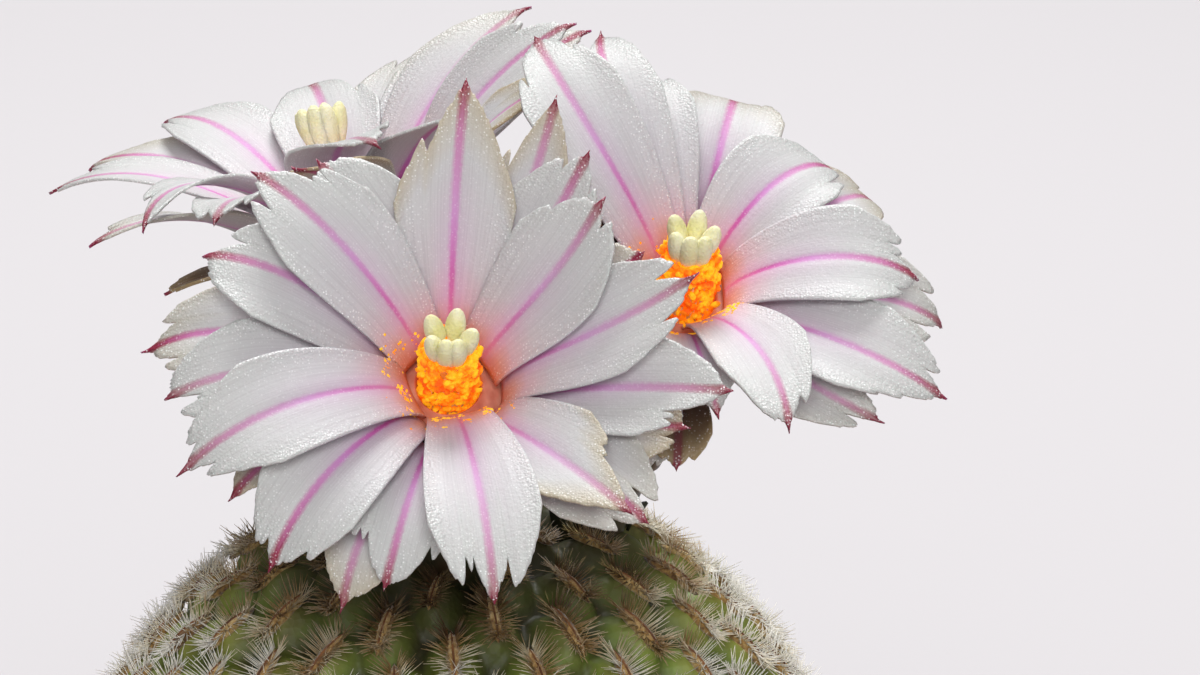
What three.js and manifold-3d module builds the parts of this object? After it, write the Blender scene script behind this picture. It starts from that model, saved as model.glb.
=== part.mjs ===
// A small globular cactus in flower, in a round clay pot.
// Millimetres, +Z up, with the origin at the centre of the pot's underside.
// The stem with its taproot is one solid; every petal, floral tube, stamen cluster and pistil is its own.
import * as THREE from 'three';
import { mergeVertices } from 'three/addons/utils/BufferGeometryUtils.js';
import Module from 'manifold-3d';

const wasm = await Module();
wasm.setup();

// ---- Driving dimensions, in millimetres and degrees ----

const FIT_GAP = 0.3; // air kept between pieces that rest in or on each other

const POT_HEIGHT = 60;
const POT_RIM_RADIUS = 34;
const POT_BASE_RADIUS = 23;
const POT_WALL = 3.5;
const POT_FLOOR = 4.5;
const POT_EDGE = 0.9; // chamfer on the pot's edges
const COLLAR_HEIGHT = 15;
const COLLAR_STEP = 2.2; // how far the collar stands out from the wall under it
const DRAIN_RADIUS = 4.5;

const SOIL_BELOW_RIM = 8;
const SOIL_MOUND = 0.8; // rise of the soil from the pot's wall to its middle

const STEM_RADIUS = 18.2; // halfway between the tips of the tubercles and the valleys between them
const STEM_CENTRE_ABOVE_SOIL = 10;
const STEM_ROUND_DOWN_TO = -45; // latitude where the round stem runs over into the taproot
const TAPROOT_LENGTH = 17;
const TAPROOT_TAPER = 1.35;

const CLAW_RADIUS = 1.9; // how far the innermost petals' bases stand from the flower's axis
const CLAW_HEIGHT = 0.5; // height of those bases over the throat's centre
const LAYER_OUT = 0.42; // each layer of petals starts this much further out
const LAYER_DOWN = 0.3; // and this much lower
const OUTERMOST_LAYER = 4.6;
const CLAW_RISE = 72; // angle at which every petal leaves the throat
const CLAW_REACH = 0.13; // share of the petal's length in which that angle dies away
const PETAL_THICKNESS = 0.26;
const PETAL_CUP = 0.12; // rise of a petal's edges, as a share of its half width
const WIDEST_AT = 0.62; // share of the length at which a petal is widest
const CLAW_WIDTH = 0.26; // width at the base, as a share of the greatest width
const TIP_WIDTH = 0.03;

const TUBE_FOOT_RADIUS = 1.9;
const TUBE_NECK_RADIUS = 2.1;
const TUBE_NECK_DEPTH = 6; // the neck's distance below the throat
const TUBE_HALFWAY_FLARE = 0.35; // share of the flare that is reached halfway up the neck
const TUBE_BEND_REACH = 0.4; // how far the tube runs on straight at each end, as a share of its span
const TUBE_SIDES = 18;
const STAMEN_SIDES = 16;
const PISTIL_SIDES = 14;
const CUP_DEPTH = 4.9; // the hollow that the stamens and the style stand in
const CUP_WALL_CLEAR = 0.4; // the cup's wall stands this far inside the innermost petals' bases

const STYLE_RADIUS = 0.42;
const STIGMA_RADIUS = 1.6;
const STIGMA_HEIGHT = 5;
const STAMEN_TOP = 3.4;
const STAMEN_HEAD_RADIUS = 1.6;

const ROUND_SEGMENTS = 40;
const PETAL_SEGMENTS = 8;

// ---- Materials ----

const finish = (color, roughness) => new THREE.MeshStandardMaterial({ color, roughness, metalness: 0 });
const terracotta = finish('#b5673f', 0.85);
const soilMix = finish('#4b3a2c', 0.95);
const stemSkin = finish('#77804f', 0.7);
const tubeSkin = finish('#4a4a30', 0.6);
const petalTissue = finish('#f3ecf1', 0.45);
const pollen = finish('#e8a43a', 0.8);
const stigmaTissue = finish('#f2edc0', 0.6);

// ---- Shared shape functions ----

const radians = THREE.MathUtils.degToRad;
const lerp = THREE.MathUtils.lerp;

// Merges a geometry's shared vertices and drops the triangles that close up at its poles.
function closed(geometry) {
  geometry.deleteAttribute('normal');
  geometry.deleteAttribute('uv');
  const merged = mergeVertices(geometry, 1e-4);
  const corners = merged.index.array;
  const kept = [];
  for (let i = 0; i < corners.length; i += 3) {
    const [a, b, c] = corners.slice(i, i + 3);
    if (a !== b && b !== c && c !== a) kept.push(a, b, c);
  }
  merged.setIndex(kept);
  return merged;
}

// Turns a profile of [radius, height] points about Z. The profile runs up the outside.
function revolve(profile, segments) {
  const points = profile.map(([radius, height]) => new THREE.Vector2(radius, height));
  return new THREE.LatheGeometry(points, segments).rotateX(Math.PI / 2);
}

function toManifold(geometry) {
  return new wasm.Manifold(new wasm.Mesh({
    numProp: 3,
    vertProperties: new Float32Array(geometry.attributes.position.array),
    triVerts: new Uint32Array(geometry.index.array),
  }));
}

function fromManifold(manifold) {
  const mesh = manifold.getMesh();
  const geometry = new THREE.BufferGeometry();
  geometry.setAttribute('position', new THREE.BufferAttribute(mesh.vertProperties, 3));
  geometry.setIndex(new THREE.BufferAttribute(mesh.triVerts, 1));
  return geometry;
}

function namedMesh(name, geometry, material) {
  const shown = geometry.index ? geometry.toNonIndexed() : geometry;
  shown.computeVertexNormals();
  const mesh = new THREE.Mesh(shown, material);
  mesh.name = name;
  return mesh;
}

// ---- Pot ----

const potOuterRadius = (height) => lerp(POT_BASE_RADIUS, POT_RIM_RADIUS - COLLAR_STEP, height / POT_HEIGHT);
const potInnerRadius = (height) => potOuterRadius(height) - POT_WALL;

function potGeometry() {
  const collarFoot = POT_HEIGHT - COLLAR_HEIGHT;
  const collarFootRadius = potOuterRadius(collarFoot) + COLLAR_STEP;
  const profile = [
    [DRAIN_RADIUS, 0],
    [POT_BASE_RADIUS - POT_EDGE, 0],
    [potOuterRadius(POT_EDGE), POT_EDGE],
    [potOuterRadius(collarFoot), collarFoot],
    [collarFootRadius - POT_EDGE, collarFoot],
    [collarFootRadius, collarFoot + POT_EDGE],
    [POT_RIM_RADIUS, POT_HEIGHT - POT_EDGE],
    [POT_RIM_RADIUS - POT_EDGE, POT_HEIGHT],
    [potInnerRadius(POT_HEIGHT) + POT_EDGE, POT_HEIGHT],
    [potInnerRadius(POT_HEIGHT), POT_HEIGHT - POT_EDGE],
    [potInnerRadius(POT_FLOOR), POT_FLOOR],
    [DRAIN_RADIUS, POT_FLOOR],
    [DRAIN_RADIUS, 0],
  ];
  return closed(revolve(profile, ROUND_SEGMENTS));
}

// ---- Stem and soil ----

const soilEdgeHeight = POT_HEIGHT - SOIL_BELOW_RIM;
const stemCentre = new THREE.Vector3(0, 0, soilEdgeHeight + STEM_CENTRE_ABOVE_SOIL);

// The stem and its taproot, drawn outwards by grow.
function stemGeometry(grow) {
  const radius = STEM_RADIUS + grow;
  const profile = [];
  const rootSteps = 7;
  const roundSteps = 15;
  const shoulder = radians(STEM_ROUND_DOWN_TO);
  const shoulderRadius = radius * Math.cos(shoulder);
  const shoulderHeight = radius * Math.sin(shoulder);
  for (let i = 0; i < rootSteps; i += 1) {
    const down = 1 - i / rootSteps;
    const height = shoulderHeight - (TAPROOT_LENGTH + grow) * down;
    profile.push([shoulderRadius * (1 - down) ** TAPROOT_TAPER, height]);
  }
  for (let i = 0; i <= roundSteps; i += 1) {
    const latitude = lerp(shoulder, Math.PI / 2, i / roundSteps);
    const onAxis = i === roundSteps;
    profile.push([onAxis ? 0 : radius * Math.cos(latitude), radius * Math.sin(latitude)]);
  }
  return closed(revolve(profile, ROUND_SEGMENTS).translate(0, 0, stemCentre.z));
}

function soilGeometry() {
  const foot = POT_FLOOR + FIT_GAP;
  const fill = closed(revolve([
    [0, foot],
    [potInnerRadius(POT_FLOOR) - FIT_GAP, foot],
    [potInnerRadius(soilEdgeHeight) - FIT_GAP, soilEdgeHeight],
    [0, soilEdgeHeight + SOIL_MOUND],
  ], ROUND_SEGMENTS));
  return fromManifold(toManifold(fill).subtract(toManifold(stemGeometry(FIT_GAP))));
}

// ---- Petals ----

// Half the petal's width at share v of its length: a narrow claw, a broad blade, a pointed tip.
function halfWidth(v, width) {
  const opening = Math.sin((Math.PI / 2) * Math.min(v / WIDEST_AT, 1)) ** 1.4;
  const blade = lerp(CLAW_WIDTH, 1, opening);
  const towardsTip = Math.max(0, (v - WIDEST_AT) / (1 - WIDEST_AT));
  return (width / 2) * blade * (1 - (1 - TIP_WIDTH) * towardsTip ** 2);
}

// The petal's middle line from claw to tip, as distance from the flower's axis, height and rise.
function midrib(petal, steps) {
  const rise = (v) => radians(petal.lift
    + (CLAW_RISE - petal.lift) * Math.exp(-v / CLAW_REACH)
    + (petal.tip - petal.lift) * v ** 2);
  const substeps = 4;
  const stride = petal.length / (steps * substeps);
  let radius = CLAW_RADIUS + LAYER_OUT * petal.layer;
  let height = CLAW_HEIGHT - LAYER_DOWN * petal.layer;
  const line = [{ radius, height, rise: rise(0) }];
  for (let i = 0; i < steps; i += 1) {
    for (let j = 0; j < substeps; j += 1) {
      const slope = rise((i * substeps + j + 0.5) / (steps * substeps));
      radius += stride * Math.cos(slope);
      height += stride * Math.sin(slope);
    }
    line.push({ radius, height, rise: rise((i + 1) / steps) });
  }
  return line;
}

// A thin block bent onto the middle line, in the flower's own frame (+Z out of the throat).
function petalGeometry(petal) {
  const geometry = new THREE.BoxGeometry(1, 1, 1, 4, PETAL_SEGMENTS, 1);
  const line = midrib(petal, PETAL_SEGMENTS);
  const position = geometry.attributes.position;
  for (let i = 0; i < position.count; i += 1) {
    const across = -2 * position.getX(i);
    const v = position.getY(i) + 0.5;
    const through = position.getZ(i) * PETAL_THICKNESS;
    const { radius, height, rise } = line[Math.round(v * PETAL_SEGMENTS)];
    const bearing = radians(petal.bearing + petal.sweep * v ** 2);
    const outward = new THREE.Vector3(Math.cos(bearing), Math.sin(bearing), 0);
    const sideways = new THREE.Vector3(-Math.sin(bearing), Math.cos(bearing), 0);
    const upward = outward.clone().multiplyScalar(-Math.sin(rise)).setZ(Math.cos(rise));
    const half = halfWidth(v, petal.width);
    const point = outward.multiplyScalar(radius).setZ(height);
    point.addScaledVector(sideways, across * half);
    point.addScaledVector(upward, PETAL_CUP * half * across ** 2 + through);
    position.setXYZ(i, point.x, point.y, point.z);
  }
  return closed(geometry);
}

// ---- Floral tube, stamens and pistil ----

// Bends a straight piece whose Z is the distance past the throat so that it follows the tube's line.
function bendAlong(geometry, line) {
  const length = line.getLength();
  const straight = new THREE.Vector3(0, 0, 1);
  const position = geometry.attributes.position;
  for (let i = 0; i < position.count; i += 1) {
    const past = position.getZ(i);
    if (past >= 0) continue;
    const share = Math.max(0, 1 + past / length);
    const turn = new THREE.Quaternion().setFromUnitVectors(straight, line.getTangentAt(share));
    const point = new THREE.Vector3(position.getX(i), position.getY(i), 0).applyQuaternion(turn);
    point.add(line.getPointAt(share));
    position.setXYZ(i, point.x, point.y, point.z);
  }
  return geometry;
}

const cupRadius = CLAW_RADIUS - CUP_WALL_CLEAR;
const tubeRimRadius = CLAW_RADIUS + LAYER_OUT * (OUTERMOST_LAYER + 0.3);

// The receptacle's slope runs just under the bases of all the layers of petals.
function receptacleHeight(radius) {
  return CLAW_HEIGHT - (LAYER_DOWN / LAYER_OUT) * (radius - CLAW_RADIUS) - 1.5 * FIT_GAP;
}

function tubeGeometry(line) {
  const foot = -line.getLength();
  return closed(bendAlong(revolve([
    [0, foot],
    [TUBE_FOOT_RADIUS, foot],
    [TUBE_FOOT_RADIUS, (foot - TUBE_NECK_DEPTH) / 2],
    [TUBE_NECK_RADIUS, -TUBE_NECK_DEPTH],
    [lerp(TUBE_NECK_RADIUS, tubeRimRadius, TUBE_HALFWAY_FLARE), -TUBE_NECK_DEPTH / 2],
    [tubeRimRadius, receptacleHeight(tubeRimRadius)],
    [cupRadius, receptacleHeight(cupRadius)],
    [cupRadius, -CUP_DEPTH / 2],
    [cupRadius, -CUP_DEPTH],
    [0, -CUP_DEPTH],
  ], TUBE_SIDES), line));
}

function stamenGeometry(line) {
  const foot = FIT_GAP - CUP_DEPTH;
  const outer = cupRadius - FIT_GAP;
  const inner = STYLE_RADIUS + FIT_GAP;
  return closed(bendAlong(revolve([
    [inner, foot],
    [outer, foot],
    [outer, foot / 2],
    [outer, 0],
    [STAMEN_HEAD_RADIUS, 0.75 * STAMEN_TOP],
    [STAMEN_HEAD_RADIUS - 0.3, STAMEN_TOP],
    [inner, STAMEN_TOP],
    [inner, 0],
    [inner, foot / 2],
    [inner, foot],
  ], STAMEN_SIDES), line));
}

function pistilGeometry(line) {
  const foot = FIT_GAP - CUP_DEPTH;
  return closed(bendAlong(revolve([
    [0, foot],
    [STYLE_RADIUS, foot],
    [STYLE_RADIUS, foot / 2],
    [STYLE_RADIUS, 0],
    [STYLE_RADIUS, STAMEN_TOP + FIT_GAP],
    [0.8 * STIGMA_RADIUS, STIGMA_HEIGHT - 0.6 * STIGMA_RADIUS],
    [STIGMA_RADIUS, STIGMA_HEIGHT],
    [0.8 * STIGMA_RADIUS, STIGMA_HEIGHT + 0.45 * STIGMA_RADIUS],
    [0, STIGMA_HEIGHT + 0.6 * STIGMA_RADIUS],
  ], PISTIL_SIDES), line));
}

// ---- Flowers ----

// Each flower grows from a spot on the crown, given in X and Y from the stem's axis. Its throat's
// height is over the crown's top, and facing is the way the throat looks. A petal's bearing turns
// anticlockwise from the flower's right. Layer 0 lies on top. Lift is the blade's angle over the
// plane across the throat, tip the angle at its end, and sweep turns the tip aside.
const PETAL_COLUMNS = ['bearing', 'length', 'width', 'layer', 'lift', 'tip', 'sweep'];
const FLOWERS = [
  {
    name: 'front',
    spot: [0, -4],
    throat: [-0.1, -8.9, 10.1],
    facing: [0.03, -0.7, 0.71],
    petals: [
      [282, 13.5, 5.2, 0, 32, -15, -3],
      [256, 10, 5, 2.5, 35, -40, 0],
      [244, 10, 5.2, 4.5, 31, -50, 4],
      [227, 12.5, 5.2, 1, 31, -45, 6],
      [209, 10, 5, 3.5, 35, -50, 5],
      [203, 14, 5.2, 0, 35, -45, 5],
      [185, 12, 5, 2.5, 34, -40, 5],
      [169, 12, 5.2, 4, 28, -50, 7],
      [153, 11.5, 5.4, 1.5, 39, -30, 5],
      [135, 12.5, 5.4, 0, 38, -20, 3],
      [120, 10, 5.2, 2.5, 36, -10, 3],
      [89, 12.5, 5.8, 1, 37, 10, -2],
      [66, 11.5, 4.8, 4.5, 29, 20, 3],
      [54, 10.5, 5.2, 2.5, 33, 25, 2],
      [35, 10, 5.6, 0, 37, 30, 8],
      [27, 8.5, 4.8, 3.5, 34, 25, 2],
      [6, 11.5, 5.4, 1.5, 36, 20, 8],
      [348, 12, 5.2, 2.5, 31, 15, 0],
      [339, 9, 5, 4.5, 27, 10, 4],
      [313, 11.5, 5.4, 1.5, 33, 10, 0],
      [319, 11, 5.2, 3.5, 29, 5, -3],
    ],
  },
  {
    name: 'right',
    spot: [6, 2],
    throat: [10.7, -2.8, 12.1],
    facing: [0.08, -0.57, 0.82],
    petals: [
      [327, 12.5, 5.2, 1.5, 24, -35, 4],
      [355, 10.5, 5, 3, 23, -55, 0],
      [3, 10.5, 5.4, 0, 34, -45, -5],
      [38, 9.5, 5, 4.5, 16, -70, 0],
      [53, 9.5, 5.2, 0.5, 30, -65, -9],
      [78, 10.5, 5.4, 4.5, 25, -70, 0],
      [107, 11.5, 5.4, 2, 25, -60, -6],
      [308, 10, 5.2, 3, 25, -30, 12],
      [300, 11.5, 4.6, 0, 36, -10, -9],
      [275, 8.5, 4.2, 1, 34, 0, 2],
      [130, 14, 5.2, 0, 31, -35, -9],
      [117, 14, 5, 1, 29, -50, -11],
      [118, 8.5, 4.6, 3, 0, -80, -4],
    ],
  },
  {
    name: 'left',
    spot: [-2, 8],
    throat: [-5.2, 9.5, 10.8],
    facing: [-0.25, 0.13, 0.96],
    petals: [
      [170, 14.5, 5.2, 2, 40, -25, -5],
      [222, 13, 5.2, 3.5, 38, -20, -6],
      [221, 14.5, 4.6, 0, 40, -40, 12],
      [140, 14.5, 5, 3.5, 38, -15, 4],
      [124, 14.5, 5.2, 2.5, 42, -15, 2],
      [91, 12, 5.6, 0.5, 41, -5, 4],
      [69, 13, 5.6, 3, 39, 5, -3],
      [359, 13.5, 5, 2, 44, 10, 1],
      [327, 13.5, 5, 4.5, 41, 5, 0],
      [307, 13, 5.2, 2, 42, 0, -3],
      [274, 13, 5, 0.5, 46, -15, 12],
      [280, 14.5, 5.2, 4.5, 37, 10, -12],
      [244, 13, 4.8, 2, 39, -25, 5],
    ],
  },
];

// The flower's frame: +Z out of its throat, +X as near as it can be to the pot's +X.
function flowerGroup(flower) {
  const out = new THREE.Vector3(...flower.facing).normalize();
  const right = new THREE.Vector3(1, 0, 0).addScaledVector(out, -out.x).normalize();
  const back = new THREE.Vector3().crossVectors(out, right);
  const group = new THREE.Group();
  const [x, y, aboveCrown] = flower.throat;
  group.position.set(x, y, aboveCrown + STEM_RADIUS).add(stemCentre);
  group.quaternion.setFromRotationMatrix(new THREE.Matrix4().makeBasis(right, back, out));
  return group;
}

// The tube's middle line, square to the stem's skin at its foot and to the petals at the throat.
function tubeLine(flower, group) {
  const [x, y] = flower.spot;
  const reach = STEM_RADIUS + FIT_GAP;
  const foot = new THREE.Vector3(x, y, Math.sqrt(reach ** 2 - x ** 2 - y ** 2));
  const outward = foot.clone().normalize();
  const intoFlower = group.quaternion.clone().invert();
  const start = foot.add(stemCentre).sub(group.position).applyQuaternion(intoFlower);
  outward.applyQuaternion(intoFlower);
  const stretch = TUBE_BEND_REACH * start.length();
  return new THREE.CubicBezierCurve3(
    start,
    start.clone().addScaledVector(outward, stretch),
    new THREE.Vector3(0, 0, -stretch),
    new THREE.Vector3(0, 0, 0),
  );
}

function buildFlower(flower) {
  const group = flowerGroup(flower);
  const line = tubeLine(flower, group);
  group.add(namedMesh(`${flower.name}_floral_tube`, tubeGeometry(line), tubeSkin));
  group.add(namedMesh(`${flower.name}_stamens`, stamenGeometry(line), pollen));
  group.add(namedMesh(`${flower.name}_pistil`, pistilGeometry(line), stigmaTissue));
  flower.petals.forEach((row, i) => {
    const petal = Object.fromEntries(PETAL_COLUMNS.map((column, j) => [column, row[j]]));
    const name = `${flower.name}_petal_${String(i + 1).padStart(2, '0')}`;
    group.add(namedMesh(name, petalGeometry(petal), petalTissue));
  });
  return group;
}

// ---- Assembly ----

const plant = new THREE.Group();
plant.add(namedMesh('terracotta_pot', potGeometry(), terracotta));
plant.add(namedMesh('potting_soil', soilGeometry(), soilMix));
plant.add(namedMesh('cactus_stem', stemGeometry(0), stemSkin));
FLOWERS.forEach((flower) => plant.add(buildFlower(flower)));

export default plant;
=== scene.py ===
"""A small globular cactus in flower, in a clay pot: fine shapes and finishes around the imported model."""

import math
import random

import bmesh
import bpy
from bpy.props import FloatProperty, FloatVectorProperty, IntProperty, PointerProperty
from mathutils import Matrix, Vector, noise
from mathutils.kdtree import KDTree


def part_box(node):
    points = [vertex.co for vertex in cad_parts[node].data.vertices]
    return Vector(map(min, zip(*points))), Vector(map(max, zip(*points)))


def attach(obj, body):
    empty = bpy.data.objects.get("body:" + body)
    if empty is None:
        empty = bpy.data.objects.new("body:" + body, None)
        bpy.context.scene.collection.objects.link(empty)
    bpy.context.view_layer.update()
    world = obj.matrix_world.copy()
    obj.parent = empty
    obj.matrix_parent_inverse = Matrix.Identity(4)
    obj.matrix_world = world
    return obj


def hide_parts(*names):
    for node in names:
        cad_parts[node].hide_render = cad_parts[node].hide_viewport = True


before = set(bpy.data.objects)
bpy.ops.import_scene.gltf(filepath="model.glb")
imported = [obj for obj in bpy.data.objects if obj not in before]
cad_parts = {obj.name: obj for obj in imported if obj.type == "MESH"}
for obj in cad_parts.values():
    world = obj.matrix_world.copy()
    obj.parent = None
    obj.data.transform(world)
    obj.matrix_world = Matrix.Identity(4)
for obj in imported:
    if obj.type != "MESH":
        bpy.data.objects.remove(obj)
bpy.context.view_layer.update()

bl_info = {
    "name": "Potted globular cactus",
    "version": (1, 0, 0),
    "blender": (4, 5, 0),
    "location": "3D View > Sidebar > Cactus",
    "description": "Builds the fine pieces and finishes of a flowering cactus in a clay pot",
    "category": "Add Mesh",
}

MM = 0.001
# The output that a node's link starts from, where it isn't the first. Inputs that share a name go by
# number: 6 and 7 are a Mix node's colours, 1 to 4 a Map Range's bounds, and 0 to 2 a Math node's values.
MAIN_OUTPUTS = {"Mix": 2, "TexCoord": "Object"}
GOLDEN_ANGLE = math.pi * (3 - math.sqrt(5))

# The driving places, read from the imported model.
POT_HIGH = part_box("terracotta_pot")[1]
STEM_LOW, STEM_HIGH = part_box("cactus_stem")
SOIL_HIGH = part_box("potting_soil")[1]
STEM_RADIUS = (STEM_HIGH.x - STEM_LOW.x) / 2
STEM_CENTRE = Vector((0, 0, STEM_HIGH.z - STEM_RADIUS))
STEM_TOP = Vector((0, 0, STEM_HIGH.z))
POT_FOOT = 23 * MM
# The skin's radius between the tubercles, how far a tubercle reaches along and across the stem in
# millimetres, and the latitude at which the stem passes into its taproot.
VALLEY = STEM_RADIUS - 1.25 * MM
TUBERCLE_LONG = 1.95
TUBERCLE_WIDE = 1.35
SHOULDER = math.radians(-45)

# How the petals leave the throat, in millimetres and degrees, the same as in the solids they replace.
CLAW_RADIUS = 1.9
CLAW_HEIGHT = 0.5
LAYER_OUT = 0.42
LAYER_DOWN = 0.3
OUTERMOST_LAYER = 4.6
CLAW_RISE = 72
CLAW_REACH = 0.13
PETAL_CUP = 0.12
# The depth of the hollow that the stamens and the style stand in.
CUP_DEPTH = 4.9
# The claw's width as a share of the petal's, which lets the claws close the throat, and where along it
# the petal is widest.
CLAW_WIDTH = 0.52
WIDEST_AT = 0.64

# Each flower's spot on the crown and its throat are in millimetres from the top of the stem.
# A petal's columns are bearing, length, width, layer, lift, tip and sweep, as in the solids. The far petals,
# on the sides that are pressed together, stand for no solid, and their last column is a twist.
FLOWERS = {
    "front": {
        "spot": (0, -4),
        "throat": (-0.1, -8.9, 10.1),
        "facing": (0.03, -0.7, 0.71),
        "style": 3.3,
        "pointed": {5, 12, 13, 20},
        "twists": {},
        "far_petals": [],
        "petals": [
            (282, 13.5, 5.2, 0, 32, -15, -3),
            (256, 10, 5, 2.5, 35, -40, 0),
            (244, 10, 5.2, 4.5, 31, -50, 4),
            (227, 12.5, 5.2, 1, 31, -45, 6),
            (209, 10, 5, 3.5, 35, -50, 5),
            (203, 14, 5.2, 0, 35, -45, 5),
            (185, 12, 5, 2.5, 34, -40, 5),
            (169, 12, 5.2, 4, 28, -50, 7),
            (153, 11.5, 5.4, 1.5, 39, -30, 5),
            (135, 12.5, 5.4, 0, 38, -20, 3),
            (120, 10, 5.2, 2.5, 36, -10, 3),
            (89, 12.5, 5.8, 1, 37, 10, -2),
            (66, 11.5, 4.8, 4.5, 29, 20, 3),
            (54, 10.5, 5.2, 2.5, 33, 25, 2),
            (35, 10, 5.6, 0, 37, 30, 8),
            (27, 8.5, 4.8, 3.5, 34, 25, 2),
            (6, 11.5, 5.4, 1.5, 36, 20, 8),
            (348, 12, 5.2, 2.5, 31, 15, 0),
            (339, 9, 5, 4.5, 27, 10, 4),
            (313, 11.5, 5.4, 1.5, 33, 10, 0),
            (319, 11, 5.2, 3.5, 29, 5, -3),
        ],
    },
    "right": {
        "spot": (6, 2),
        "throat": (10.7, -2.8, 12.1),
        "facing": (0.08, -0.57, 0.82),
        "style": 3.3,
        "pointed": {10, 13},
        "twists": {},
        "far_petals": [
            (160, 6.5, 3.4, 3, 0, -72, 0, 0),
            (192, 6.5, 3.4, 4.5, 0, -72, 0, 0),
            (224, 6.5, 3.4, 3, 0, -72, 0, 0),
            (255, 6.5, 3.4, 4.5, 0, -72, 0, 0),
        ],
        "petals": [
            (327, 12.5, 5.2, 1.5, 24, -35, 4),
            (355, 10.5, 5, 3, 23, -55, 0),
            (3, 10.5, 5.4, 0, 34, -45, -5),
            (38, 9.5, 5, 4.5, 16, -70, 0),
            (53, 9.5, 5.2, 0.5, 30, -65, -9),
            (78, 10.5, 5.4, 4.5, 25, -70, 0),
            (107, 11.5, 5.4, 2, 25, -60, -6),
            (308, 10, 5.2, 3, 25, -30, 12),
            (300, 11.5, 4.6, 0, 36, -10, -9),
            (275, 8.5, 4.2, 1, 34, 0, 2),
            (130, 14, 5.2, 0, 31, -35, -9),
            (117, 14, 5, 1, 29, -50, -11),
            (118, 8.5, 4.6, 3, 0, -80, -4),
        ],
    },
    "left": {
        "spot": (-2, 8),
        "throat": (-5.2, 9.5, 10.8),
        "facing": (-0.25, 0.13, 0.96),
        "style": 4.7,
        "pointed": {2, 3},
        "twists": {8: 34, 9: 22},
        "far_petals": [
            (50, 13.5, 5.4, 2, 40, 0, 0, 12),
            (34, 14, 5.4, 0.5, 42, 5, 0, 18),
            (17, 13.5, 5.2, 3.5, 40, 5, 0, 24),
        ],
        "petals": [
            (170, 14.5, 5.2, 2, 40, -25, -5),
            (222, 13, 5.2, 3.5, 38, -20, -6),
            (221, 14.5, 4.6, 0, 40, -40, 12),
            (140, 14.5, 5, 3.5, 38, -15, 4),
            (124, 14.5, 5.2, 2.5, 42, -15, 2),
            (91, 12, 5.6, 0.5, 41, -5, 4),
            (69, 13, 5.6, 3, 39, 5, -3),
            (359, 13.5, 5, 2, 44, 10, 1),
            (327, 13.5, 5, 4.5, 41, 5, 0),
            (307, 13, 5.2, 2, 42, 0, -3),
            (274, 13, 5, 0.5, 46, -15, 12),
            (280, 14.5, 5.2, 4.5, 37, 10, -12),
            (244, 13, 4.8, 2, 39, -25, 5),
        ],
    },
}


# ---- Colours, nodes and pieces ----


def colour(hex_value):
    """An sRGB hex colour as the linear RGBA that sockets take."""

    def channel(start):
        c = int(hex_value[start : start + 2], 16) / 255
        return c / 12.92 if c <= 0.04045 else ((c + 0.055) / 1.055) ** 2.4

    return (channel(1), channel(3), channel(5), 1.0)


def new_material(name):
    """A material with a bare Principled shader.

    Gives a function that adds a node, one that sets the shader's sockets, and the piece's own coordinates.
    """
    material = bpy.data.materials.new(name)
    material.use_nodes = True
    tree = material.node_tree

    def fill(node, inputs):
        for key, value in inputs.items():
            if isinstance(value, bpy.types.NodeSocket):
                tree.links.new(value, node.inputs[key])
            else:
                node.inputs[key].default_value = value

    def add(kind, inputs, stops=(), out=None, **properties):
        """Adds a node, sets its properties, ramp stops and inputs, and gives its output."""
        node = tree.nodes.new("ShaderNode" + kind)
        if kind == "Mix":
            node.data_type = "RGBA"
        for key, value in properties.items():
            setattr(node, key, value)
        if stops:
            elements = node.color_ramp.elements
            while len(elements) < len(stops):
                elements.new(1)
            for element, (position, value) in zip(elements, stops):
                element.position = position
                element.color = colour(value) if isinstance(value, str) else (value, value, value, 1)
        fill(node, inputs)
        return node.outputs[out or MAIN_OUTPUTS.get(kind, 0)]

    def shade(inputs):
        fill(tree.nodes["Principled BSDF"], inputs)
        return material

    return add, shade, add("TexCoord", {})


def flesh(weight, radii, depth):
    """Shader sockets for light that goes a few tenths of a millimetre into living tissue."""
    return {"Subsurface Weight": weight, "Subsurface Radius": radii, "Subsurface Scale": depth * MM}


def mottled_material(name, cell, detail, tones, roughness, relief=None, tissue=None, glow=0.0):
    """A material whose tone wanders over cells of a size in millimetres.

    relief is the size of its pits or warts, or 0 where the tone's own cells stand out, then the strength
    and depth, and whether they are warts. glow is how much of its own tone the material gives off, as painted
    light.
    """
    add, shade, place = new_material(name)
    patch = add("TexNoise", pattern(place, cell, Detail=detail))
    tone = add("ValToRGB", {"Fac": patch}, tones)
    sockets = {"Base Color": tone, "Roughness": roughness, **(tissue or {})}
    if relief:
        grain, strength, depth, warts = relief
        height = add("TexVoronoi", pattern(place, grain)) if grain else patch
        relief_inputs = {"Height": height, "Strength": strength, "Distance": depth * MM}
        sockets["Normal"] = add("Bump", relief_inputs, invert=warts)
    # Painted light: the material gives off its own tone as a glow.
    if glow:
        sockets |= {"Emission Color": tone, "Emission Strength": glow}
    return shade(sockets)


def pattern(place, size, **inputs):
    """A texture's inputs, on coordinates in metres, for cells that are size millimetres wide."""
    return {"Vector": place, "Scale": 1000 / size, **inputs}


def put(name, data):
    """Adds an object to the scene."""
    item = bpy.data.objects.new(name, data)
    bpy.context.scene.collection.objects.link(item)
    return item


def finish_piece(name, bm, materials, nodes=(), matrix=None):
    """Places the mesh and makes it an object of the fixed frame, standing for its nodes."""
    if matrix:
        bmesh.ops.transform(bm, matrix=matrix, verts=bm.verts)
    mesh = as_mesh(bm, name)
    for material in materials:
        mesh.materials.append(material)
    mesh.shade_smooth()
    piece = put(name, mesh)
    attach(piece, "root")
    if nodes:
        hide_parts(*nodes)


def add_copy(bm, mesh, matrix):
    """Adds a copy of a small mesh to a larger one, in place."""
    copy = mesh.copy()
    copy.transform(matrix)
    bm.from_mesh(copy)
    bpy.data.meshes.remove(copy)


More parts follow.
